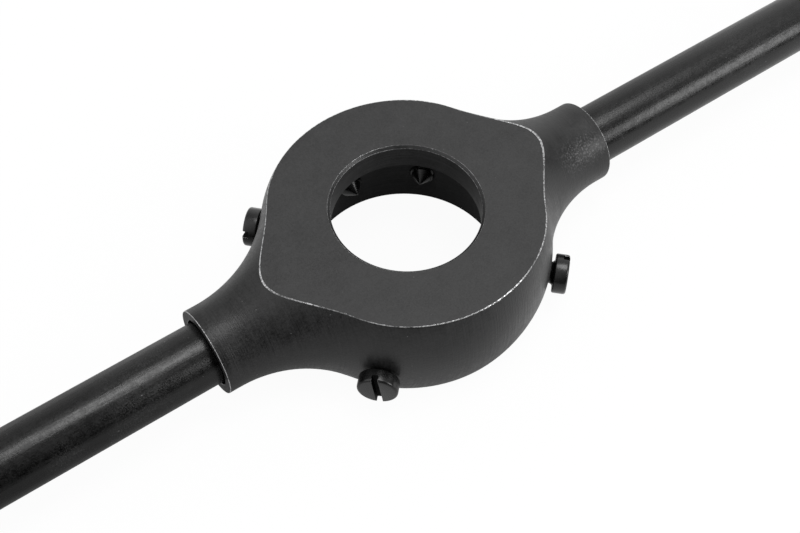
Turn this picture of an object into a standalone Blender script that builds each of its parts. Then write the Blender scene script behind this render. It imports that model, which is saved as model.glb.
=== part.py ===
# Die stock handle: a turned steel body with two milled flats holds a round die in its stepped bore,
# two bars screw into its necks as handles, and five slotted cone-point screws reach the die.
# Metres, +Z up. The origin is on the bore's axis, in the lower flat, where the die pocket opens.

from math import atan2, cos, pi, radians, sin

import bmesh
import bpy
from mathutils import Matrix, Vector

# Driving sizes of the body.
BODY_HEIGHT = 0.0215
BALL_DIAMETER = 0.0557
SHOULDER_ANGLE = radians(59)
SHOULDER_RADIUS = 0.023
SOCKET_DIAMETER = 0.0166
SOCKET_END = 0.0431
SOCKET_STRAIGHT = 0.0022

# The die pocket below, the guide bore above it and the lip between them.
DIE_DIAMETER = 0.038
DIE_CLEARANCE = 0.0001
BORE_DIAMETER = 0.0278
LIP_THICKNESS = 0.0055
BORE_CHAMFER = 0.0005
POCKET_CHAMFER = 0.0002

# Handles: a bar with a threaded stub that screws into the neck.
OVERALL_LENGTH = 0.315
HANDLE_DIAMETER = 0.012
HANDLE_END_CHAMFER = 0.001
STUB_DIAMETER = 0.0094
STUB_LENGTH = 0.012
STUB_CHAMFER = 0.0008
MOUTH_DEPTH = 0.004
MOUTH_CLEARANCE = 0.0005
STUB_END_ROOM = 0.0012

# Slotted screws with a cheese head, a filleted neck and a cone point.
HEAD_DIAMETER = 0.0075
HEAD_HEIGHT = 0.0027
HEAD_CHAMFER = 0.0005
NECK_FILLET = 0.0007
SHANK_DIAMETER = 0.0044
SCREW_LENGTH = 0.012
CONE_ANGLE = radians(90)
CONE_TIP_DIAMETER = 0.0003
SLOT_WIDTH = 0.0011
SLOT_DEPTH = 0.0012
SCREW_AXIS_HEIGHT = 0.0073

# Gaps between touching pieces, and how far a cutter runs past what it cuts.
THREAD_GAP = 0.0003
SEAT_GAP = 0.0003
CUT_OVERRUN = 0.002

# Each screw: its name, its bearing round the bore, how far its head stands off the ball,
# and how far its slot is turned from upright.
SCREWS = (
    ("holding_screw_front", radians(-134.3), 0.0003, radians(8)),
    ("holding_screw_right", radians(-44.6), 0.0005, radians(-22)),
    ("closing_screw_left", radians(134.7), 0.0005, radians(-62)),
    ("closing_screw_rear", radians(45), 0.0005, radians(25)),
    ("spreading_screw", radians(90), 0.0005, radians(-40)),
)

# Facets round each kind of turned shape, and along its arcs.
BODY_STEPS = 72
BORE_STEPS = 96
BAR_STEPS = 40
SCREW_STEPS = 24
FLARE_POINTS = 10
SHOULDER_POINTS = 5
BALL_POINTS = 11
FILLET_POINTS = 4

# What follows from the driving sizes.
MID_HEIGHT = BODY_HEIGHT / 2
BALL_RADIUS = BALL_DIAMETER / 2
SOCKET_RADIUS = SOCKET_DIAMETER / 2
POCKET_RADIUS = DIE_DIAMETER / 2 + DIE_CLEARANCE
POCKET_DEPTH = BODY_HEIGHT - LIP_THICKNESS
BORE_RADIUS = BORE_DIAMETER / 2
HANDLE_RADIUS = HANDLE_DIAMETER / 2
STUB_RADIUS = STUB_DIAMETER / 2
HANDLE_SHOULDER = SOCKET_END - MOUTH_DEPTH + SEAT_GAP
SHANK_RADIUS = SHANK_DIAMETER / 2
SCREW_HOLE_RADIUS = SHANK_RADIUS + THREAD_GAP

STEEL = ("black_oxide_steel", (0.045, 0.045, 0.047, 1.0), 0.5, 0.9)
BAR_STEEL = ("black_bar_steel", (0.035, 0.035, 0.037, 1.0), 0.35, 0.9)
SCREW_STEEL = ("black_screw_steel", (0.025, 0.025, 0.026, 1.0), 0.4, 0.9)


def clear_scene():
    for item in list(bpy.data.objects):
        bpy.data.objects.remove(item, do_unlink=True)


def make_material(finish):
    name, colour, roughness, metallic = finish
    material = bpy.data.materials.new(name)
    material.use_nodes = True
    shader = material.node_tree.nodes["Principled BSDF"]
    shader.inputs["Base Color"].default_value = colour
    shader.inputs["Roughness"].default_value = roughness
    shader.inputs["Metallic"].default_value = metallic
    material.diffuse_color = colour
    return material


def arc(centre, radius, start, end, count):
    # Points of a round stretch, from one bearing to the other, both ends included.
    bearings = [start + (end - start) * step / (count - 1) for step in range(count)]
    return [(centre[0] + radius * cos(b), centre[1] + radius * sin(b)) for b in bearings]


def turned_mesh(name, outline, steps):
    # Spins an outline of (along, radius) points round X into one closed solid.
    bm = bmesh.new()
    verts = [bm.verts.new((along, radius, 0)) for along, radius in outline]
    edges = [bm.edges.new(pair) for pair in zip(verts, verts[1:])]
    bmesh.ops.spin(bm, geom=verts + edges, cent=(0, 0, 0), axis=(1, 0, 0), dvec=(0, 0, 0),
                   angle=2 * pi, steps=steps, use_merge=True, use_duplicate=False)
    bmesh.ops.remove_doubles(bm, verts=bm.verts, dist=SEAT_GAP / 1000)
    bmesh.ops.recalc_face_normals(bm, faces=bm.faces)
    mesh = bpy.data.meshes.new(name)
    bm.to_mesh(mesh)
    bm.free()
    return mesh


def box_mesh(name, size):
    bm = bmesh.new()
    bmesh.ops.create_cube(bm, size=1)
    bmesh.ops.scale(bm, vec=size, verts=bm.verts)
    mesh = bpy.data.meshes.new(name)
    bm.to_mesh(mesh)
    bm.free()
    return mesh


def add_object(mesh, name, placing):
    item = bpy.data.objects.new(name, mesh)
    item.matrix_world = placing
    bpy.context.scene.collection.objects.link(item)
    return item


def shade_round(mesh, material):
    mesh.materials.append(material)
    mesh.shade_smooth()
    mesh.set_sharp_from_angle(angle=radians(30))


def add_cutter(target, mesh, placing, operation="DIFFERENCE"):
    cutter = add_object(mesh, mesh.name, placing)
    cutter.hide_render = True
    cutter.display_type = "WIRE"
    boolean = target.modifiers.new(mesh.name, "BOOLEAN")
    boolean.operation = operation
    boolean.object = cutter
    boolean.solver = "EXACT"


def neck_outline():
    # The neck's hollow arc is tangent to the socket's straight end and to the shoulder's arc,
    # and the shoulder's arc is tangent to the ball where the ball ends.
    offset = BALL_RADIUS - SHOULDER_RADIUS
    shoulder = (offset * cos(SHOULDER_ANGLE), offset * sin(SHOULDER_ANGLE))
    start = SOCKET_END - SOCKET_STRAIGHT
    run = start - shoulder[0]
    drop = SOCKET_RADIUS - shoulder[1]
    flare = (run ** 2 - SHOULDER_RADIUS ** 2 + drop ** 2) / (2 * (SHOULDER_RADIUS - drop))
    centre = (start, SOCKET_RADIUS + flare)
    turn = atan2(centre[1] - shoulder[1], run)
    hollow = arc(centre, flare, -pi / 2, turn - pi, FLARE_POINTS)
    return hollow + arc(shoulder, SHOULDER_RADIUS, turn, SHOULDER_ANGLE, SHOULDER_POINTS)[1:]


def body_outline():
    # One side from the socket's end face to the ball, the ball, and the other side mirrored.
    side = [(SOCKET_END, 0), (SOCKET_END, SOCKET_RADIUS)] + neck_outline()
    ball = arc((0, 0), BALL_RADIUS, SHOULDER_ANGLE, pi - SHOULDER_ANGLE, BALL_POINTS)[1:-1]
    other = [(-along, radius) for along, radius in reversed(side)]
    return side + ball + other


def bore_outline():
    # From under the lower flat up through the pocket, the lip and the chamfered rim.
    rim = BORE_RADIUS + BORE_CHAMFER
    mouth = POCKET_RADIUS + POCKET_CHAMFER
    return [
        (-CUT_OVERRUN, 0),
        (-CUT_OVERRUN, mouth),
        (0, mouth),
        (POCKET_CHAMFER, POCKET_RADIUS),
        (POCKET_DEPTH, POCKET_RADIUS),
        (POCKET_DEPTH, BORE_RADIUS),
        (BODY_HEIGHT - BORE_CHAMFER, BORE_RADIUS),
        (BODY_HEIGHT, rim),
        (BODY_HEIGHT + CUT_OVERRUN, rim),
        (BODY_HEIGHT + CUT_OVERRUN, 0),
    ]


def socket_outline():
    # A clearance mouth for the bar, then the hole for its threaded stub.
    mouth = HANDLE_RADIUS + MOUTH_CLEARANCE
    hole = STUB_RADIUS + THREAD_GAP
    seat = SOCKET_END - MOUTH_DEPTH
    bottom = HANDLE_SHOULDER - STUB_LENGTH - STUB_END_ROOM
    return [
        (bottom, 0),
        (bottom, hole),
        (seat, hole),
        (seat, mouth),
        (SOCKET_END + CUT_OVERRUN, mouth),
        (SOCKET_END + CUT_OVERRUN, 0),
    ]


def screw_hole_outline():
    return [
        (POCKET_RADIUS - CUT_OVERRUN, 0),
        (POCKET_RADIUS - CUT_OVERRUN, SCREW_HOLE_RADIUS),
        (BALL_RADIUS + CUT_OVERRUN, SCREW_HOLE_RADIUS),
        (BALL_RADIUS + CUT_OVERRUN, 0),
    ]


def handle_outline():
    inner = HANDLE_SHOULDER - STUB_LENGTH
    outer = OVERALL_LENGTH / 2
    return [
        (inner, 0),
        (inner, STUB_RADIUS - STUB_CHAMFER),
        (inner + STUB_CHAMFER, STUB_RADIUS),
        (HANDLE_SHOULDER, STUB_RADIUS),
        (HANDLE_SHOULDER, HANDLE_RADIUS),
        (outer - HANDLE_END_CHAMFER, HANDLE_RADIUS),
        (outer, HANDLE_RADIUS - HANDLE_END_CHAMFER),
        (outer, 0),
    ]


def screw_outline():
    # From the cone point out to the head's face. Zero is where the head's underside lies.
    head_radius = HEAD_DIAMETER / 2
    tip_radius = CONE_TIP_DIAMETER / 2
    tip = -SCREW_LENGTH
    cone_end = tip + (SHANK_RADIUS - tip_radius) * cos(CONE_ANGLE / 2) / sin(CONE_ANGLE / 2)
    fillet_centre = (-NECK_FILLET, SHANK_RADIUS + NECK_FILLET)
    fillet = arc(fillet_centre, NECK_FILLET, -pi / 2, 0, FILLET_POINTS)
    return [(tip, 0), (tip, tip_radius), (cone_end, SHANK_RADIUS)] + fillet + [
        (0, head_radius - HEAD_CHAMFER),
        (HEAD_CHAMFER, head_radius),
        (HEAD_HEIGHT - HEAD_CHAMFER, head_radius),
        (HEAD_HEIGHT, head_radius - HEAD_CHAMFER),
        (HEAD_HEIGHT, 0),
    ]


def bearing_placing(bearing, height, distance=0, roll=0):
    # Points a shape's X axis outwards at a bearing round the bore, with its Z axis upright.
    turn = Matrix.Rotation(bearing, 4, "Z")
    slide = Matrix.Translation(Vector((distance, 0, 0)))
    lift = Matrix.Translation(Vector((0, 0, height)))
    return lift @ turn @ slide @ Matrix.Rotation(roll, 4, "X")


def make_body(material):
    mesh = turned_mesh("stock_body", body_outline(), BODY_STEPS)
    shade_round(mesh, material)
    body = add_object(mesh, "stock_body", Matrix.Translation(Vector((0, 0, MID_HEIGHT))))
    reach = 2 * (SOCKET_END + CUT_OVERRUN)
    flats = box_mesh("flats_cutter", (reach, BALL_DIAMETER + CUT_OVERRUN, BODY_HEIGHT))
    add_cutter(body, flats, Matrix.Translation(Vector((0, 0, MID_HEIGHT))), "INTERSECT")
    bore = turned_mesh("bore_cutter", bore_outline(), BORE_STEPS)
    add_cutter(body, bore, Matrix.Rotation(-pi / 2, 4, "Y"))
    for side, bearing in (("right", 0), ("left", pi)):
        socket = turned_mesh(f"socket_cutter_{side}", socket_outline(), BAR_STEPS)
        add_cutter(body, socket, bearing_placing(bearing, MID_HEIGHT))
    for name, bearing, _, _ in SCREWS:
        hole = turned_mesh(f"{name}_hole_cutter", screw_hole_outline(), SCREW_STEPS)
        add_cutter(body, hole, bearing_placing(bearing, SCREW_AXIS_HEIGHT))


def make_handles(material):
    for side, bearing in (("right", 0), ("left", pi)):
        mesh = turned_mesh(f"handle_{side}", handle_outline(), BAR_STEPS)
        shade_round(mesh, material)
        add_object(mesh, f"handle_{side}", bearing_placing(bearing, MID_HEIGHT))


def make_screws(material):
    slot_size = (2 * SLOT_DEPTH, SLOT_WIDTH, HEAD_DIAMETER + CUT_OVERRUN)
    for name, bearing, stand_off, slot_turn in SCREWS:
        mesh = turned_mesh(name, screw_outline(), SCREW_STEPS)
        shade_round(mesh, material)
        distance = BALL_RADIUS + stand_off
        screw = add_object(mesh, name, bearing_placing(bearing, SCREW_AXIS_HEIGHT, distance, slot_turn))
        slot = box_mesh(f"{name}_slot_cutter", slot_size)
        placing = bearing_placing(bearing, SCREW_AXIS_HEIGHT, distance + HEAD_HEIGHT, slot_turn)
        add_cutter(screw, slot, placing)


def build():
    clear_scene()
    make_body(make_material(STEEL))
    make_handles(make_material(BAR_STEEL))
    make_screws(make_material(SCREW_STEEL))


build()
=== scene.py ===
from math import atan2, cos, pi, radians, sin, tan

import bmesh
import bpy
from mathutils import Matrix, Vector
from mathutils.noise import noise as noiseAt


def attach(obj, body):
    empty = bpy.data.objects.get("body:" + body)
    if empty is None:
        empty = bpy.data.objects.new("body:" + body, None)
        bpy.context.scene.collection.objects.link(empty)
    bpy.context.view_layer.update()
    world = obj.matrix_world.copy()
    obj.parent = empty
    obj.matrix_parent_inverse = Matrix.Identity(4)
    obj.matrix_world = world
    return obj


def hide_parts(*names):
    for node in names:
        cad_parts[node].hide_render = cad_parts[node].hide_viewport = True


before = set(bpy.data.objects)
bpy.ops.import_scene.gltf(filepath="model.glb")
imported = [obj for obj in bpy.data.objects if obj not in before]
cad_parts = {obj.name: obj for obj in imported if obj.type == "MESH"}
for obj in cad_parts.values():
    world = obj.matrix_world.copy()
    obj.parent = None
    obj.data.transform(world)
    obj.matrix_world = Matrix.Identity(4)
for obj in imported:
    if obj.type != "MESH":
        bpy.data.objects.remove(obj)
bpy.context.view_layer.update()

mm = 0.001
mergeGap = 0.0005 * mm    # points nearer than this become one
cutGap = 0.00005 * mm    # how near a point has to be to lie on a cutting plane
levelGap = 0.0002 * mm    # the same for a level of the rounds beside the flats


def roundedOutline(points, radii, steps=4):
    # each corner gets its radius, a zero keeps it sharp
    outline = []
    for index, radius in enumerate(radii):
        corner = Vector(points[index])
        if radius == 0:
            outline.append(corner)
            continue
        back = (Vector(points[index - 1]) - corner).normalized()
        ahead = (Vector(points[index + 1]) - corner).normalized()
        half = back.angle(ahead) / 2
        centre = corner + (back + ahead).normalized() * radius / sin(half)
        first = (corner + back * radius / tan(half) - centre).normalized()
        last = (corner + ahead * radius / tan(half) - centre).normalized()
        outline += [centre + first.slerp(last, step / steps) * radius for step in range(steps + 1)]
    return outline


def arcPoints(centre, radius, start, end, count):
    # points (along, across) on an arc, both ends included
    return [Vector((centre[0] + radius * cos(start + (end - start) * step / count),
                    centre[1] + radius * sin(start + (end - start) * step / count)))
            for step in range(count + 1)]


def turned(outline, steps):
    # an open outline (along X, radius) is spun about X, its ends lie on the axis
    form = bmesh.new()
    verts = [form.verts.new((point[0], 0, point[1])) for point in outline]
    edges = [form.edges.new(pair) for pair in zip(verts, verts[1:])]
    bmesh.ops.spin(form, geom=verts + edges, cent=(0, 0, 0), axis=(1, 0, 0),
                   angle=2 * pi, steps=steps, use_merge=True)
    bmesh.ops.remove_doubles(form, verts=form.verts[:], dist=mergeGap)
    bmesh.ops.recalc_face_normals(form, faces=form.faces[:])
    return form


def sliced(form, point, normal, clear=False):
    # cut along a plane, and cleared on the side that the normal points to if asked
    whole = form.verts[:] + form.edges[:] + form.faces[:]
    bmesh.ops.bisect_plane(form, geom=whole, dist=cutGap, plane_co=point, plane_no=normal,
                           clear_outer=clear)


def bevelled(form, edges, size, segments, clamp=False):
    return bmesh.ops.bevel(form, geom=edges, offset=size, offset_type="OFFSET", segments=segments,
                           profile=0.5, affect="EDGES", material=-1, clamp_overlap=clamp)


def asObject(form, name, materials=()):
    mesh = bpy.data.meshes.new(name)
    form.to_mesh(mesh)
    form.free()
    piece = bpy.data.objects.new(name, mesh)
    bpy.context.scene.collection.objects.link(piece)
    for material in materials:
        mesh.materials.append(material)
    return piece


def joined(forms):
    # several closed shapes in one mesh
    whole = bmesh.new()
    for form in forms:
        part = bpy.data.meshes.new("part")
        form.to_mesh(part)
        form.free()
        whole.from_mesh(part)
        bpy.data.meshes.remove(part)
    return whole


def combine(piece, other, operation):
    # a Boolean that is applied at once, the other object is used up
    step = piece.modifiers.new(operation, "BOOLEAN")
    step.operation = operation
    step.object = other
    bpy.context.view_layer.update()
    shown = piece.evaluated_get(bpy.context.evaluated_depsgraph_get())
    mesh = bpy.data.meshes.new_from_object(shown)
    piece.modifiers.clear()
    old = piece.data
    piece.data = mesh
    mesh.name = piece.name
    bpy.data.meshes.remove(old)
    bpy.data.objects.remove(other)


def shadeRound(piece, angle):
    piece.data.shade_smooth()
    piece.data.set_sharp_from_angle(angle=radians(angle))


def newMaterial(name):
    material = bpy.data.materials.new(name)
    material.use_nodes = True
    tree = material.node_tree
    shader = tree.nodes["Principled BSDF"]
    return material, tree, shader


def feed(tree, socket, value):
    # an input takes a link or a constant
    if isinstance(value, bpy.types.NodeSocket):
        tree.links.new(value, socket)
    else:
        socket.default_value = value


def addNode(tree, kind, inputs=None, **settings):
    item = tree.nodes.new("ShaderNode" + kind)
    for key, value in settings.items():
        setattr(item, key, value)
    for key, value in (inputs or {}).items():
        feed(tree, item.inputs[key], value)
    return item


def objectPoint(tree, scale=(1, 1, 1)):
    place = addNode(tree, "TexCoord").outputs["Object"]
    return addNode(tree, "Mapping", {"Vector": place, "Scale": scale}).outputs["Vector"]


def noise(tree, point, scale, detail=2, rough=0.5):
    return addNode(tree, "TexNoise", {"Vector": point, "Scale": scale, "Detail": detail,
                                      "Roughness": rough}).outputs["Fac"]


def ranged(tree, value, low, high, toLow=0, toHigh=1, smooth=False):
    kind = "SMOOTHSTEP" if smooth else "LINEAR"
    return addNode(tree, "MapRange", {"Value": value, "From Min": low, "From Max": high,
                                      "To Min": toLow, "To Max": toHigh},
                   interpolation_type=kind).outputs["Result"]


def sums(tree, operation, first, second):
    return addNode(tree, "Math", {0: first, 1: second}, operation=operation).outputs["Value"]


def mixed(tree, factor, first, second):
    item = addNode(tree, "Mix", {"Factor": factor, 6: first, 7: second}, data_type="RGBA")
    return item.outputs[2]


def bumped(tree, shader, height, distance):
    bump = addNode(tree, "Bump", {"Height": height, "Distance": distance, "Strength": 1.0})
    tree.links.new(bump.outputs["Normal"], shader.inputs["Normal"])


oxide = {    # what all the looks share
    "coolness": 1.01,    # blue against red and green
    "noiseRange": (0.3, 0.7),    # the noise values that count as fully dark and fully light
    "middle": 0.5,
    "speckBand": 0.05,
    "scuffCore": 0.2,    # the share of a placed patch that is scuffed in full
    "scuffRange": (0.5, 0.68),
    "scuffGrainRange": (0.5, 0.75),
    # painted shade in the bore and pocket: the share of colour and gloss kept at the lower end,
    # and the colour there
    "paintedShadeLeast": 0.6,
    "paintedShadeColour": 0.001,
    "roughnessSpread": 0.1,
    "wornRoughness": 0.34,
}


def grey(level):
    return (level, level, level * oxide["coolness"], 1)


def scuffed(tree, point, look):
    # fine bright grain in one placed patch, which is scuffed grain and a painted highlight, or in
    # patches all over
    size = look["scuffSize"]
    if look.get("highlightScuffPlace"):
        along = objectPoint(tree, look["highlightScuffStretch"])
        away = addNode(tree, "VectorMath", {0: along, 1: look["highlightScuffPlace"]},
                       operation="DISTANCE").outputs["Value"]
        patches = ranged(tree, away, size * oxide["scuffCore"], size, 1, 0, smooth=True)
    else:
        patches = ranged(tree, noise(tree, point, 1 / size, detail=1), *oxide["scuffRange"])
    bright = ranged(tree, noise(tree, point, 1 / look["scuffGrain"], detail=2),
                    *oxide["scuffGrainRange"])
    return sums(tree, "MULTIPLY", patches, sums(tree, "MULTIPLY", bright, look["scuffShare"]))


def oxideMaterial(look):
    # black oxide steel, worn to bright metal where the wear value lets it
    material, tree, shader = newMaterial(look["name"])
    point = objectPoint(tree)
    grain = noise(tree, point, 1 / look["grainSize"], detail=3, rough=0.6)
    cloud = noise(tree, point, 1 / look["cloudSize"], detail=3, rough=0.55)
    lines = noise(tree, objectPoint(tree, look["lineScale"]), 1, detail=2, rough=0.5)
    layers = zip((grain, cloud, lines), ("grainDepth", "cloudDepth", "lineDepth"))
    grained, clouded, lined = [ranged(tree, value, *oxide["noiseRange"], -look[depth], look[depth])
                               for value, depth in layers]
    shade = sums(tree, "ADD", sums(tree, "ADD", grained, clouded), lined)
    shade = sums(tree, "ADD", shade, oxide["middle"])
    colour = mixed(tree, shade, grey(look["dark"]), grey(look["light"]))
    field = ranged(tree, noise(tree, point, 1 / look["speckSize"], detail=0), look["speckFrom"],
                   look["speckFrom"] + oxide["speckBand"])
    wear = sums(tree, "MULTIPLY", field, look["speckShare"])
    if look.get("scuffSize"):
        wear = sums(tree, "ADD", wear, scuffed(tree, point, look))
    if look.get("wear"):
        wear = sums(tree, "MAXIMUM", wear, look["wear"](tree))
    gloss = look["specular"]
    if look.get("paintedShadeHeight"):    # painted shade: colour and gloss grow darker and duller towards the lower end of the bore and pocket
        upright = addNode(tree, "SeparateXYZ", {0: addNode(tree, "TexCoord").outputs["Object"]})
        unshaded = ranged(tree, upright.outputs["Z"], 0, look["paintedShadeHeight"], oxide["paintedShadeLeast"], 1)
        colour = mixed(tree, unshaded, grey(oxide["paintedShadeColour"]), colour)
        gloss = sums(tree, "MULTIPLY", unshaded, gloss)
    colour = mixed(tree, wear, colour, grey(look["steel"]))
    rough = ranged(tree, shade, 0.0, 1.0, look["roughness"] - oxide["roughnessSpread"],
                   look["roughness"] + oxide["roughnessSpread"])
    polish = sums(tree, "MULTIPLY", wear, look["roughness"] - oxide["wornRoughness"])
    feed(tree, shader.inputs["Base Color"], colour)
    feed(tree, shader.inputs["Metallic"], wear)
    feed(tree, shader.inputs["Roughness"], sums(tree, "SUBTRACT", rough, polish))
    feed(tree, shader.inputs["Specular IOR Level"], gloss)
    bumped(tree, shader, sums(tree, "ADD", grain, lines), look["relief"])
    return material


rubbing = {    # scales are in features per metre
    "runScale": 130,
    "runRange": (0.38, 0.63),
    "runLeast": 0.2,
    "endRange": (40 * mm, 41 * mm),    # the sockets' ends are worn all round from here
    "endShare": 0.85,
    "nickScale": 2600,
    "nickRange": (0.42, 0.58),
    "nickLeast": 0.12,
    "cornerRange": (0.3, 0.55),
    "cornerLeast": 0.4,
}


def edgeWear(tree):
    # rubbed edges: long worn runs with small breaks
    point = objectPoint(tree)
    runs = ranged(tree, noise(tree, point, rubbing["runScale"], detail=3), *rubbing["runRange"],
                  rubbing["runLeast"], 1)
    along = addNode(tree, "SeparateXYZ", {0: point}).outputs["X"]
    along = addNode(tree, "Math", {0: along}, operation="ABSOLUTE").outputs["Value"]
    ends = ranged(tree, along, *rubbing["endRange"], 0, rubbing["endShare"])
    runs = sums(tree, "MAXIMUM", runs, ends)
    nicks = ranged(tree, noise(tree, point, rubbing["nickScale"], detail=4, rough=0.75),
                   *rubbing["nickRange"], rubbing["nickLeast"], 1)
    return sums(tree, "MULTIPLY", runs, nicks)


def cornerWear(tree):
    # the outer corners of a slot are rubbed nearly all over
    grain = noise(tree, objectPoint(tree), rubbing["nickScale"], detail=2)
    return ranged(tree, grain, *rubbing["cornerRange"], rubbing["cornerLeast"], 1)


body = {
    "height": 21.5 * mm,
    "ballDiameter": 55.7 * mm,
    "shoulderAngle": radians(59),
    "shoulderRadius": 23.0 * mm,
    "socketDiameter": 16.6 * mm,
    "socketEnd": 43.1 * mm,
    "socketStraight": 2.2 * mm,
    "pocketRadius": 19.1 * mm,
    "pocketDepth": 16.0 * mm,
    "pocketChamfer": 0.2 * mm,
    "boreRadius": 13.9 * mm,
    "boreChamfer": 0.5 * mm,
    "boreRound": 0.8,    # in parts of the edge's round
    "boreLand": 0.1 * mm,    # a ring just over the flat that rounds the chamfer off towards it
    "boreLandRise": 0.12,    # in parts of its width
    "mouthRadius": 6.5 * mm,
    "mouthDepth": 4.0 * mm,
    "stubHoleRadius": 5.0 * mm,
    "stubHoleEnd": 26.2 * mm,
    "stubHoleCone": 0.5,    # in parts of the hole's radius
    "screwHoleRadius": 2.5 * mm,
    "screwHeight": 7.3 * mm,
    "edgeRound": 0.12 * mm,
    "roundAngles": (0, 30, 60, 90),
    "nickSize": 0.45 * mm,
    "nickDepth": 0.6,    # in parts of the edge's round, as are the next two
    "chipDepth": 2.2,
    "rubbedRight": 0.4,    # the right end is rubbed more than the left one
    "chipSpread": 0.5,    # chips are twice as long as nicks
    "chipFrom": 0.3,    # the noise value from which an edge is chipped
    "overrun": 2 * mm,
    "smoothAngle": 30,
    "turnSteps": 240,
    "boreSteps": 192,
    "socketSteps": 128,
    "screwHoleSteps": 64,
    "flareSteps": 22,
    "shoulderSteps": 10,
    "ballSteps": 16,
    "edgeCuts": 2,
}
bodyAxis = Matrix.Translation((0, 0, body["height"] / 2))
aboutZ = Matrix.Rotation(radians(-90), 4, "Y")    # turns an X axis shape upright

screws = [  # name, node, bearing in degrees, face distance, slot turn in degrees
    ("cone_screw_front", "holding_screw_front", -134.3, 30.85 * mm, 8),
    ("cone_screw_right", "holding_screw_right", -44.6, 31.05 * mm, -22),
    ("cone_screw_left", "closing_screw_left", 134.7, 31.05 * mm, -62),
    ("cone_screw_rear", "closing_screw_rear", 45, 31.05 * mm, 25),
    ("cone_screw_split", "spreading_screw", 90, 31.05 * mm, -40),
]


def screwPlace(bearing, roll=0.0):
    height = Matrix.Translation((0, 0, body["screwHeight"]))
    turn = Matrix.Rotation(radians(bearing), 4, "Z")
    return height @ turn @ Matrix.Rotation(radians(roll), 4, "X")


def sidePlace(side):
    # on the handle axis, to the right for 1 and to the left for -1
    return bodyAxis @ Matrix.Rotation(radians(90 - 90 * side), 4, "Z")


def bodyOutline():
    ball = body["ballDiameter"] / 2
    socket = body["socketDiameter"] / 2
    end = body["socketEnd"]
    straight = end - body["socketStraight"]
    angle = body["shoulderAngle"]
    convex = body["shoulderRadius"]
    shoulder = Vector((cos(angle), sin(angle))) * (ball - convex)
    run = straight - shoulder.x
    drop = socket - shoulder.y
    flare = (run * run - convex * convex + drop * drop) / (2 * (convex - drop))
    turn = atan2(socket + flare - shoulder.y, run)
    half = roundedOutline([(end, 0), (end, socket), (straight, socket)],
                          [0, body["edgeRound"], 0])
    half += arcPoints((straight, socket + flare), flare, radians(-90), turn - pi,
                      body["flareSteps"])[1:]
    half += arcPoints(shoulder, convex, turn, angle, body["shoulderSteps"])[1:]
    half += arcPoints((0, 0), ball, angle, radians(90), body["ballSteps"])[1:]
    return half + [Vector((-point[0], point[1])) for point in reversed(half[:-1])]


def atLevel(verts, level):
    # all at one distance from the middle plane, above or below it
    return all(abs(abs(vert.co.z) - level) < levelGap for vert in verts)


def softenFlats(form):
    # both flats are cut, and their sharp outlines get a small round
    half = body["height"] / 2
    size = body["edgeRound"]
    angles = [radians(angle) for angle in body["roundAngles"]]
    levels = [half - size * (1 - sin(angle)) for angle in angles]
    for side in (1, -1):
        sliced(form, (0, 0, side * half), (0, 0, side), clear=True)
        for level in levels[:-1]:
            sliced(form, (0, 0, side * level), (0, 0, side))
    along = [edge for edge in form.edges if edge.calc_length() > body["nickSize"]
             and any(atLevel(edge.verts, level) for level in levels)]
    bmesh.ops.subdivide_edges(form, edges=along, cuts=body["edgeCuts"], use_grid_fill=True)
    form.normal_update()
    outward = {vert: Vector((vert.normal.x, vert.normal.y, 0)).normalized() for vert in form.verts}
    worn = {}
    for vert in form.verts:
        place = vert.co / body["nickSize"]
        chips = max(0.0, noiseAt(place * body["chipSpread"]) - body["chipFrom"])
        side = body["rubbedRight"] * vert.co.x / body["pocketRadius"]
        worn[vert] = 1 + side + body["nickDepth"] * noiseAt(place) + body["chipDepth"] * chips
    for angle, level in zip(angles[1:], levels[1:]):
        for vert in form.verts:
            if atLevel([vert], level):
                vert.co -= outward[vert] * size * worn[vert] * (1 - cos(angle))
    for side in (1, -1):
        rim = [edge for edge in form.edges if edge.is_boundary
               and all(abs(vert.co.z - side * half) < levelGap for vert in edge.verts)]
        bmesh.ops.edgeloop_fill(form, edges=rim)
    bmesh.ops.recalc_face_normals(form, faces=form.faces[:])


def boreCutter():
    over = body["overrun"]
    top = body["height"]
    pocket = body["pocketRadius"]
    bore = body["boreRadius"]
    chamfer = body["boreChamfer"]
    lip = body["pocketDepth"]
    mouth = body["pocketChamfer"]
    small = body["edgeRound"] * body["boreRound"]
    land = body["boreLand"]
    outer = bore + chamfer + land
    points = [(-over, 0), (-over, pocket + mouth + over), (mouth, pocket), (lip, pocket),
              (lip, bore), (top - chamfer, bore), (top, bore + chamfer),
              (top + land * body["boreLandRise"], outer), (top + over, outer), (top + over, 0)]
    outline = roundedOutline(points, [0, 0, small, small, small, small * 2, small, 0, 0, 0])
    form = turned(outline, body["boreSteps"])
    form.transform(aboutZ)
    return form


def socketCutter(side):
    end = body["socketEnd"]
    mouth = body["mouthRadius"]
    stub = body["stubHoleRadius"]
    stubEnd = body["stubHoleEnd"]
    over = body["overrun"]
    small = body["edgeRound"]
    floor = end - body["mouthDepth"]
    points = [(end + over, 0), (end + over, mouth + small + over), (end - small, mouth),
              (floor, mouth), (floor, stub), (stubEnd, stub),
              (stubEnd - stub * body["stubHoleCone"], 0)]
    form = turned(points, body["socketSteps"])
    form.transform(sidePlace(side))
    return form


def screwHole(bearing):
    radius = body["screwHoleRadius"]
    inside = body["boreRadius"] + body["overrun"]
    outside = body["ballDiameter"] / 2 + body["overrun"]
    form = turned([(inside, 0), (inside, radius), (outside, radius), (outside, 0)],
                  body["screwHoleSteps"])
    form.transform(screwPlace(bearing))
    return form


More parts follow.
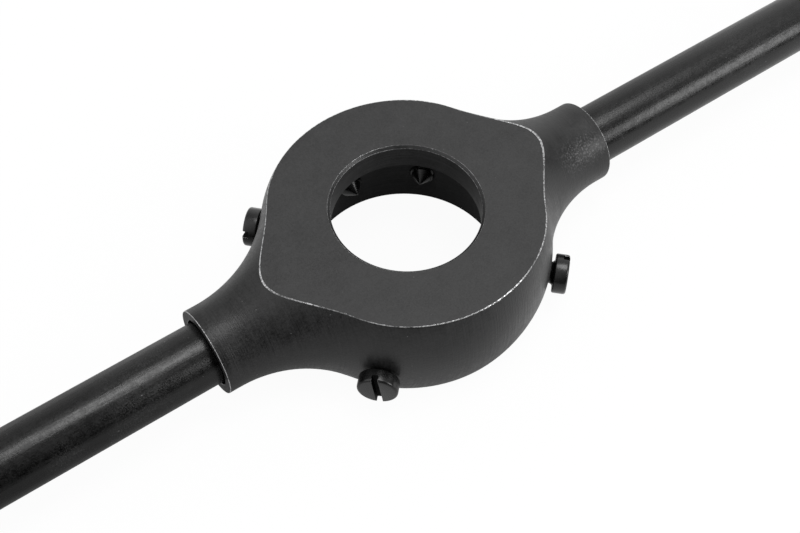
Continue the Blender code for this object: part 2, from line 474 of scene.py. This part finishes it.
faceLimits = {    # what tells the body's faces apart
    "flatNormal": 0.9999,
    "flatGap": 0.001 * mm,
    "roundSlack": 1.02,    # in parts of the edge's round
    "rimReach": 1.2 * mm,    # beyond the pocket's wall
    "chamferDepth": 1.3,    # in parts of the bore's chamfer
    "chamferReach": 1.12,    # in parts of the bore's radius
    "chamferSlopes": (0.62, 0.76),
    "endReach": 0.98,    # in parts of the mouth's radius
    "endNormal": 0.995,
    "wallReach": 0.5 * mm,    # beyond the pocket's wall
    "wallEnd": 4 * mm,    # short of the stub hole's end
}


def sortBodyFaces(mesh):
    # 0 turned side, 1 milled flats, 2 rubbed edges, 3 bore chamfer, 4 bore and pocket
    half = body["height"] / 2
    nearRound = body["edgeRound"] * faceLimits["roundSlack"]
    rimFrom = body["pocketRadius"] + faceLimits["rimReach"]
    chamferFrom = body["height"] - body["boreChamfer"] * faceLimits["chamferDepth"]
    chamferTo = body["boreRadius"] * faceLimits["chamferReach"]
    endFrom = body["mouthRadius"] * faceLimits["endReach"]
    wallTo = body["pocketRadius"] + faceLimits["wallReach"]
    wallEnd = body["stubHoleEnd"] - faceLimits["wallEnd"]
    lowSlope, highSlope = faceLimits["chamferSlopes"]
    for face in mesh.polygons:
        place = face.center
        reach = Vector((place.x, place.y)).length
        fromMiddle = abs(place.z - half)
        axial = Vector((0, place.y, place.z - half)).length
        steep = abs(face.normal.z)
        if steep > faceLimits["flatNormal"] and fromMiddle > half - faceLimits["flatGap"]:
            face.material_index = 1
        elif reach > rimFrom and fromMiddle > half - nearRound:
            face.material_index = 2
        elif place.z > chamferFrom and reach < chamferTo:
            face.material_index = 3 if lowSlope < steep < highSlope else 2
        elif abs(place.x) > body["socketEnd"] - nearRound and axial > endFrom:
            flatEnd = abs(face.normal.x) > faceLimits["endNormal"]
            face.material_index = 0 if flatEnd else 2
        elif reach < wallTo and abs(place.x) < wallEnd:
            face.material_index = 4
        else:
            face.material_index = 0


def makeBody(materials):
    form = turned(bodyOutline(), body["turnSteps"])
    softenFlats(form)
    form.transform(bodyAxis)
    piece = asObject(form, "turned_body", materials)
    combine(piece, asObject(boreCutter(), "boreCutter"), "DIFFERENCE")
    small = [socketCutter(1), socketCutter(-1)] + [screwHole(row[2]) for row in screws]
    combine(piece, asObject(joined(small), "smallCutters"), "DIFFERENCE")
    shadeRound(piece, body["smoothAngle"])
    sortBodyFaces(piece.data)
    for face in piece.data.polygons:
        if face.material_index == 1:
            face.use_smooth = False
    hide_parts("stock_body")
    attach(piece, "stock")


handle = {
    "radius": 6.0 * mm,
    "shoulder": 39.4 * mm,
    "end": 157.5 * mm,
    "endChamfer": 1.0 * mm,
    "edgeRound": 0.2 * mm,
    "stubRadius": 4.7 * mm,
    "stubLength": 12.0 * mm,
    "stubChamfer": 0.8 * mm,
    "smoothAngle": 35,
    "steps": 160,
}


def makeHandle(name, node, side, material):
    shoulder = handle["shoulder"]
    tip = shoulder - handle["stubLength"]
    stub = handle["stubRadius"]
    bar = handle["radius"]
    end = handle["end"]
    cut = handle["endChamfer"]
    small = handle["edgeRound"]
    points = [(tip, 0), (tip, stub - handle["stubChamfer"]), (tip + handle["stubChamfer"], stub),
              (shoulder, stub), (shoulder, bar), (end - cut, bar), (end, bar - cut), (end, 0)]
    outline = roundedOutline(points, [0, small / 2, small / 2, 0, small, small * 2, small, 0])
    form = turned(outline, handle["steps"])
    form.transform(sidePlace(side))
    piece = asObject(form, name, [material])
    shadeRound(piece, handle["smoothAngle"])
    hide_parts(node)
    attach(piece, "stock")


screw = {
    "headRadius": 3.75 * mm,
    "headHeight": 2.7 * mm,
    "rimRound": 0.5 * mm,
    "edgeRound": 0.35 * mm,
    "neckRadius": 2.05 * mm,
    "neckFillet": 0.7 * mm,
    "neckLength": 1.3 * mm,
    "threadRadius": 2.35 * mm,
    "rootRadius": 1.95 * mm,
    "pitch": 0.8 * mm,
    "rootShare": 0.2,    # of a pitch, as is the next
    "flankShare": 0.65,
    "spareTurns": 1.5,    # at each end, before the rod is cut to length
    "runOutSlope": 0.8,
    "rodOverlap": 0.6,    # in parts of the neck's length
    "weldGap": 0.002 * mm,
    "length": 12.0 * mm,
    "tipRadius": 0.15 * mm,
    "slotWidth": 1.22 * mm,
    "slotDepth": 1.25 * mm,
    "slotRound": 0.16 * mm,
    "slotFloorRound": 0.16 * mm,
    "wallNormal": 0.99,
    "wallGap": 0.01 * mm,
    "brokenShare": 0.8,    # of the slot's depth
    "rubbedFrom": 0.8,    # in parts of the head's radius
    "slotReach": (1.05, 0.51, 0.99),    # of the slot's depth and width and the head's radius
    "smoothAngle": 30,
    "steps": 72,
    "roundSteps": 6,
    "threadSteps": 40,
    "pointsPerPitch": 10,
}


def threadedRod():
    # a helix of teeth about X, from the cone point at -length to the neck
    pitch = screw["pitch"]
    start = -screw["length"]
    root = screw["rootRadius"]
    tip = screw["tipRadius"]
    spare = screw["spareTurns"]
    count = screw["pointsPerPitch"]
    rows = int((screw["length"] + 2 * spare * pitch) / pitch * count)
    teeth = []
    for row in range(rows):
        share = (row % count) / count
        rise = (abs(share - 0.5) * 2 - screw["rootShare"]) / screw["flankShare"]
        rise = min(1.0, max(0.0, rise))
        teeth.append((start - spare * pitch + row * pitch / count,
                      root + (screw["threadRadius"] - root) * rise))
    form = bmesh.new()
    verts = [form.verts.new((along, 0, radius)) for along, radius in teeth]
    edges = [form.edges.new(pair) for pair in zip(verts, verts[1:])]
    bmesh.ops.spin(form, geom=verts + edges, cent=(0, 0, 0), axis=(1, 0, 0), angle=2 * pi,
                   steps=screw["threadSteps"], dvec=(pitch / screw["threadSteps"], 0, 0))
    bmesh.ops.remove_doubles(form, verts=form.verts[:], dist=screw["weldGap"])
    for vert in form.verts:
        radius = Vector((0, vert.co.y, vert.co.z)).length
        cone = max(tip, vert.co.x - start + tip)
        runOut = max(root, root - (vert.co.x + screw["neckLength"]) * screw["runOutSlope"])
        limit = min(cone, runOut)
        if radius > limit:
            vert.co.y *= limit / radius
            vert.co.z *= limit / radius
    sliced(form, (start, 0, 0), (-1, 0, 0), clear=True)
    sliced(form, (-screw["neckLength"] * screw["rodOverlap"], 0, 0), (1, 0, 0), clear=True)
    bmesh.ops.holes_fill(form, edges=[edge for edge in form.edges if edge.is_boundary])
    bmesh.ops.recalc_face_normals(form, faces=form.faces[:])
    return form


def screwHead():
    neck = screw["neckRadius"]
    fillet = screw["neckFillet"]
    head = screw["headRadius"]
    high = screw["headHeight"]
    steps = screw["roundSteps"]
    under = -screw["neckLength"]
    curve = arcPoints((-fillet, neck + fillet), fillet, radians(-90), 0, steps)
    rim = roundedOutline([(0, neck + fillet), (0, head), (high, head), (high, 0)],
                         [0, screw["edgeRound"], screw["rimRound"], 0], steps)
    return turned([Vector((under, 0)), Vector((under, neck))] + curve + rim[1:], screw["steps"])


def slotCutter():
    wide = screw["slotWidth"]
    deep = screw["slotDepth"]
    high = screw["headHeight"]
    long = screw["headRadius"] * 3    # well past the rim on both sides
    form = bmesh.new()
    bmesh.ops.create_cube(form, size=1)
    bmesh.ops.scale(form, verts=form.verts[:], vec=(deep * 2, wide, long))
    bmesh.ops.translate(form, verts=form.verts[:], vec=(high, 0, 0))
    floor = [edge for edge in form.edges if all(vert.co.x < high for vert in edge.verts)
             and abs(edge.verts[0].co.y - edge.verts[1].co.y) < screw["wallGap"]]
    bevelled(form, floor, screw["slotFloorRound"], 3)
    return form


def breakSlotEdges(form):
    # the slot's upper edges are broken a little, as a saw leaves them after tumbling
    half = screw["slotWidth"] / 2
    low = screw["headHeight"] - screw["slotDepth"] * screw["brokenShare"]
    chosen = []
    for edge in form.edges:
        if len(edge.link_faces) != 2:
            continue
        walls = [abs(face.normal.y) > screw["wallNormal"]
                 and abs(abs(face.calc_center_median().y) - half) < screw["wallGap"]
                 for face in edge.link_faces]
        if walls[0] != walls[1] and edge.verts[0].co.x > low:
            chosen.append(edge)
    for face in bevelled(form, chosen, screw["slotRound"], 2, clamp=True)["faces"]:
        middle = face.calc_center_median()
        reach = Vector((0, middle.y, middle.z)).length
        face.material_index = 1 if reach > screw["headRadius"] * screw["rubbedFrom"] else 0


def makeScrew(name, node, bearing, faceDistance, roll, materials):
    piece = asObject(screwHead(), name, materials)
    combine(piece, asObject(threadedRod(), "rod"), "UNION")
    combine(piece, asObject(slotCutter(), "slot"), "DIFFERENCE")
    form = bmesh.new()
    form.from_mesh(piece.data)
    breakSlotEdges(form)
    high = screw["headHeight"]
    depthShare, widthShare, rimShare = screw["slotReach"]
    for face in form.faces:    # 0 head and shank, 1 rubbed slot corners, 2 the slot's inside, which is made nearly black and dull
        middle = face.calc_center_median()
        reach = Vector((0, middle.y, middle.z)).length
        within = (abs(middle.y) < screw["slotWidth"] * widthShare
                  and middle.x > high - screw["slotDepth"] * depthShare)
        if within and face.material_index == 0 and reach < screw["headRadius"] * rimShare:
            face.material_index = 2
    form.transform(screwPlace(bearing, roll) @ Matrix.Translation((faceDistance - high, 0, 0)))
    form.to_mesh(piece.data)
    form.free()
    shadeRound(piece, screw["smoothAngle"])
    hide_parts(node)
    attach(piece, node)


looks = {
    "turned": {
        "name": "turnedOxide", "dark": 0.003, "light": 0.017, "steel": 0.35,
        "roughness": 0.40, "specular": 0.41, "relief": 0.036 * mm,
        "grainSize": 0.44 * mm, "grainDepth": 0.3, "cloudSize": 2.2 * mm, "cloudDepth": 0.2,
        "lineScale": (3600, 120, 120), "lineDepth": 0.22,
        "speckSize": 0.4 * mm, "speckFrom": 0.87, "speckShare": 0.4,
        "scuffSize": 4.8 * mm, "scuffGrain": 0.36 * mm, "scuffShare": 0.27,
        "highlightScuffStretch": (0.5, 1, 1),    # the patch is twice as long as it is wide
        "highlightScuffPlace": (18.7 * mm, -6.2 * mm, 17.4 * mm),    # X counts half, as the stretch says; the patch is scuffed grain and a painted highlight where the right neck's highlight falls
    },
    "milled": {
        "name": "milledOxide", "dark": 0.009, "light": 0.030, "steel": 0.35,
        "roughness": 0.50, "specular": 0.42, "relief": 0.007 * mm,
        "grainSize": 0.24 * mm, "grainDepth": 0.35, "cloudSize": 4.0 * mm, "cloudDepth": 0.15,
        "lineScale": (1500, 1500, 1500), "lineDepth": 0.12,
        "speckSize": 0.4 * mm, "speckFrom": 0.86, "speckShare": 0.3,
    },
    "bore": {
        "name": "boredOxide", "dark": 0.012, "light": 0.037, "steel": 0.35,
        # painted shade darkens the colour and gloss below the height given here
        "roughness": 0.42, "specular": 0.045, "relief": 0.004 * mm, "paintedShadeHeight": 16 * mm,
        "grainSize": 0.28 * mm, "grainDepth": 0.2, "cloudSize": 2.5 * mm, "cloudDepth": 0.2,
        "lineScale": (90, 90, 4200), "lineDepth": 0.25,
        "speckSize": 0.4 * mm, "speckFrom": 0.9, "speckShare": 0.2,
    },
    "chamfer": {
        "name": "chamferOxide", "dark": 0.008, "light": 0.026, "steel": 0.4,
        "roughness": 0.40, "specular": 0.40, "relief": 0.004 * mm,
        "grainSize": 0.25 * mm, "grainDepth": 0.25, "cloudSize": 1.6 * mm, "cloudDepth": 0.25,
        "lineScale": (700, 700, 4200), "lineDepth": 0.3,
        "speckSize": 0.35 * mm, "speckFrom": 0.84, "speckShare": 0.5,
    },
    "bar": {
        "name": "drawnOxide", "dark": 0.0, "light": 0.003, "steel": 0.3,
        "roughness": 0.28, "specular": 0.42, "relief": 0.02 * mm,
        "grainSize": 0.36 * mm, "grainDepth": 0.35, "cloudSize": 1.5 * mm, "cloudDepth": 0.3,
        "lineScale": (160, 2600, 2600), "lineDepth": 0.2,
        "speckSize": 0.4 * mm, "speckFrom": 0.85, "speckShare": 0.4,
        "scuffSize": 10 * mm, "scuffGrain": 0.2 * mm, "scuffShare": 0.1,
    },
    "screw": {
        "name": "screwOxide", "dark": 0.001, "light": 0.006, "steel": 0.35,
        "roughness": 0.25, "specular": 0.5, "relief": 0.003 * mm,
        "grainSize": 0.2 * mm, "grainDepth": 0.3, "cloudSize": 1.2 * mm, "cloudDepth": 0.2,
        "lineScale": (2200, 2200, 2200), "lineDepth": 0.15,
        "speckSize": 0.4 * mm, "speckFrom": 0.86, "speckShare": 0.3,
    },
}
edgeLook = dict(looks["turned"], name="rubbedEdge", wear=edgeWear, steel=0.8)
screwEdgeLook = dict(looks["screw"], name="rubbedScrewEdge", wear=cornerWear, steel=0.8)
# the slot's inside is made nearly black and dull, darker than the head's oxide
nearBlackSlotLook = dict(looks["screw"], name="nearBlackSlot", dark=0.0, light=0.002, specular=0.06,
                roughness=0.6)

turnedOxide = oxideMaterial(looks["turned"])
milledOxide = oxideMaterial(looks["milled"])
boredOxide = oxideMaterial(looks["bore"])
chamferOxide = oxideMaterial(looks["chamfer"])
rubbedEdge = oxideMaterial(edgeLook)
drawnOxide = oxideMaterial(looks["bar"])
screwOxide = oxideMaterial(looks["screw"])
rubbedScrewEdge = oxideMaterial(screwEdgeLook)
nearBlackSlot = oxideMaterial(nearBlackSlotLook)
print("materials ready")

makeBody([turnedOxide, milledOxide, rubbedEdge, chamferOxide, boredOxide])
print("body made")
makeHandle("bar_handle_left", "handle_left", -1, drawnOxide)
makeHandle("bar_handle_right", "handle_right", 1, drawnOxide)
print("handles made")
for name, node, bearing, faceDistance, roll in screws:
    makeScrew(name, node, bearing, faceDistance, roll, [screwOxide, rubbedScrewEdge, nearBlackSlot])
print("screws made")


studio = {
    "azimuth": -36.03,
    "elevation": 54.68,
    "roll": 1.343,
    "distance": 245.94 * mm,
    "lens": 58.764,
    "sensorWidth": 36,
    "shiftX": -0.00705,
    "shiftY": -0.03258,
    "clipRange": (0.01, 50),
    "floorSize": 6.0,
    "floorColour": 0.85,
    "floorRoughness": 0.9,
    "floorGlow": 0.95,
    "underLevel": 0.42,    # the floor as reflections see it, with painted shade under the body and painted light and shade near it and far off
    "nearLevels": [    # azimuth, elevation and level, as in the next two lists
        (0, 0, 0.44), (45, 0, 0.95), (90, 0, 0.5), (135, 0, 0.48), (180, 0, 1.0), (225, 0, 0.5),
        (270, 0, 0.1), (315, 0, 0.58),
    ],
    "farLevels": [(45, 0, 1.0), (135, 0, 0.89), (225, 0, 0.81)],
    "nearRing": (24 * mm, 34 * mm),
    "farRing": (90 * mm, 130 * mm),
    "nearSharpness": 6,
    "farSharpness": 2,
    "roomPanels": [    # the soft white panels that reflections see
        (45, 8, 0.2), (90, 15, 0.25), (135, 15, 1.0), (180, 15, 0.48), (225, 15, 0.59),
        (270, 15, 1.0), (60, 52, 0.6), (120, 52, 0.56), (240, 52, 1.0), (300, 52, 0.4),
        (0, 90, 0.31),
    ],
    "panelSharpness": 16,
    "worldLevel": 0.85,
    "overheadPower": 2.0,
    "overheadSize": 0.34,
    "overheadPlace": (0.15, 0.0, 0.77),
    "sidePower": 1.76,
    "sideSize": 0.32,
    "sidePlace": (0.41, -0.54, 0.32),
}
white = (1, 1, 1, 1)


def towards(azimuth, elevation):
    # azimuth 0 is the front, 90 the right
    around, up = radians(azimuth), radians(elevation)
    return Vector((sin(around) * cos(up), -cos(around) * cos(up), sin(up)))


def makeCamera():
    azimuth = radians(studio["azimuth"])
    roll = radians(studio["roll"])
    back = towards(studio["azimuth"], studio["elevation"])
    level = Vector((cos(azimuth), sin(azimuth), 0))
    upright = back.cross(level)
    right = level * cos(roll) + upright * sin(roll)
    up = upright * cos(roll) - level * sin(roll)
    data = bpy.data.cameras.new("camera")
    data.lens = studio["lens"]
    data.sensor_width = studio["sensorWidth"]
    data.shift_x = studio["shiftX"]
    data.shift_y = studio["shiftY"]
    data.clip_start, data.clip_end = studio["clipRange"]
    camera = bpy.data.objects.new("camera", data)
    bpy.context.scene.collection.objects.link(camera)
    turn = Matrix((right, up, back)).transposed().to_4x4()
    place = Matrix.Translation(back * studio["distance"] + bodyAxis.translation)
    camera.matrix_world = place @ turn
    bpy.context.scene.camera = camera


def facing(tree, direction, lobes, sharpness, whole):
    # soft lobes of light about each direction, added up, each over half of the sphere or all of it
    total = 0.0
    for azimuth, elevation, level in lobes:
        match = addNode(tree, "VectorMath", {0: direction, 1: towards(azimuth, elevation)},
                        operation="DOT_PRODUCT").outputs["Value"]
        match = ranged(tree, match, -1 if whole else 0, 1)
        lobe = sums(tree, "MULTIPLY", sums(tree, "POWER", match, sharpness), level)
        total = sums(tree, "ADD", lobe, total)
    return total


def seenDirectly(tree, path):
    # 1 for the rays that show a surface, 0 for those that only light the part
    seen = sums(tree, "MAXIMUM", path["Is Camera Ray"], path["Is Glossy Ray"])
    return sums(tree, "MAXIMUM", seen, path["Is Transmission Ray"])


def reflectedLevel(tree, path, level):
    # the level for reflections, and 1 for the camera
    change = sums(tree, "MULTIPLY", path["Is Glossy Ray"], sums(tree, "SUBTRACT", level, 1.0))
    return sums(tree, "ADD", change, 1.0)


def makeLamp(name, place, size, power):
    data = bpy.data.lights.new(name, "AREA")
    data.shape = "SQUARE"
    data.size = size
    data.energy = power
    lamp = bpy.data.objects.new(name, data)
    bpy.context.scene.collection.objects.link(lamp)
    lamp.location = place
    lamp.rotation_euler = Vector(place).to_track_quat("Z", "Y").to_euler()
    lamp.visible_camera = False


def makeFloor():
    form = bmesh.new()
    bmesh.ops.create_grid(form, x_segments=1, y_segments=1, size=studio["floorSize"] / 2)
    material, tree, shader = newMaterial("paleFloor")
    shader.inputs["Base Color"].default_value = grey(studio["floorColour"])
    shader.inputs["Roughness"].default_value = studio["floorRoughness"]
    shader.inputs["Specular IOR Level"].default_value = 0
    path = addNode(tree, "LightPath").outputs
    point = addNode(tree, "TexCoord").outputs["Object"]
    outward = addNode(tree, "VectorMath", {0: point}, operation="NORMALIZE").outputs["Vector"]
    reach = addNode(tree, "VectorMath", {0: point}, operation="LENGTH").outputs["Value"]
    around = ranged(tree, reach, *studio["nearRing"], smooth=True)
    distant = ranged(tree, reach, *studio["farRing"], smooth=True)
    near = facing(tree, outward, studio["nearLevels"], studio["nearSharpness"], False)
    far = facing(tree, outward, studio["farLevels"], studio["farSharpness"], False)
    near = sums(tree, "MULTIPLY", sums(tree, "SUBTRACT", around, distant), near)
    far = sums(tree, "MULTIPLY", distant, far)
    # painted shade on the floor under the body, which only reflections see
    under = ranged(tree, around, 0, 1, studio["underLevel"], 0)
    level = sums(tree, "ADD", sums(tree, "ADD", near, far), under)
    level = reflectedLevel(tree, path, level)
    glow = addNode(tree, "Emission", {"Color": white, "Strength": level})
    share = sums(tree, "MULTIPLY", seenDirectly(tree, path), studio["floorGlow"])
    blend = addNode(tree, "MixShader", {0: share, 1: shader.outputs["BSDF"],
                                        2: glow.outputs["Emission"]})
    feed(tree, tree.nodes["Material Output"].inputs["Surface"], blend.outputs["Shader"])
    floor = asObject(form, "floor", [material])


def makeWorld():
    world = bpy.data.worlds.new("studio")
    bpy.context.scene.world = world
    world.use_nodes = True
    tree = world.node_tree
    tree.nodes.clear()
    path = addNode(tree, "LightPath").outputs
    ray = addNode(tree, "TexCoord").outputs["Generated"]
    panels = facing(tree, ray, studio["roomPanels"], studio["panelSharpness"], True)
    plain = addNode(tree, "Background", {"Color": white, "Strength": studio["worldLevel"]})
    level = reflectedLevel(tree, path, panels)
    room = addNode(tree, "Background", {"Color": white, "Strength": level})
    choice = addNode(tree, "MixShader", {0: seenDirectly(tree, path),
                                         1: plain.outputs["Background"],
                                         2: room.outputs["Background"]})
    addNode(tree, "OutputWorld", {"Surface": choice.outputs["Shader"]})


makeCamera()
makeFloor()
makeLamp("overheadBox", studio["overheadPlace"], studio["overheadSize"], studio["overheadPower"])
makeLamp("sideBox", studio["sidePlace"], studio["sideSize"], studio["sidePower"])
makeWorld()
bpy.context.scene.view_settings.view_transform = "Standard"
print("studio ready")
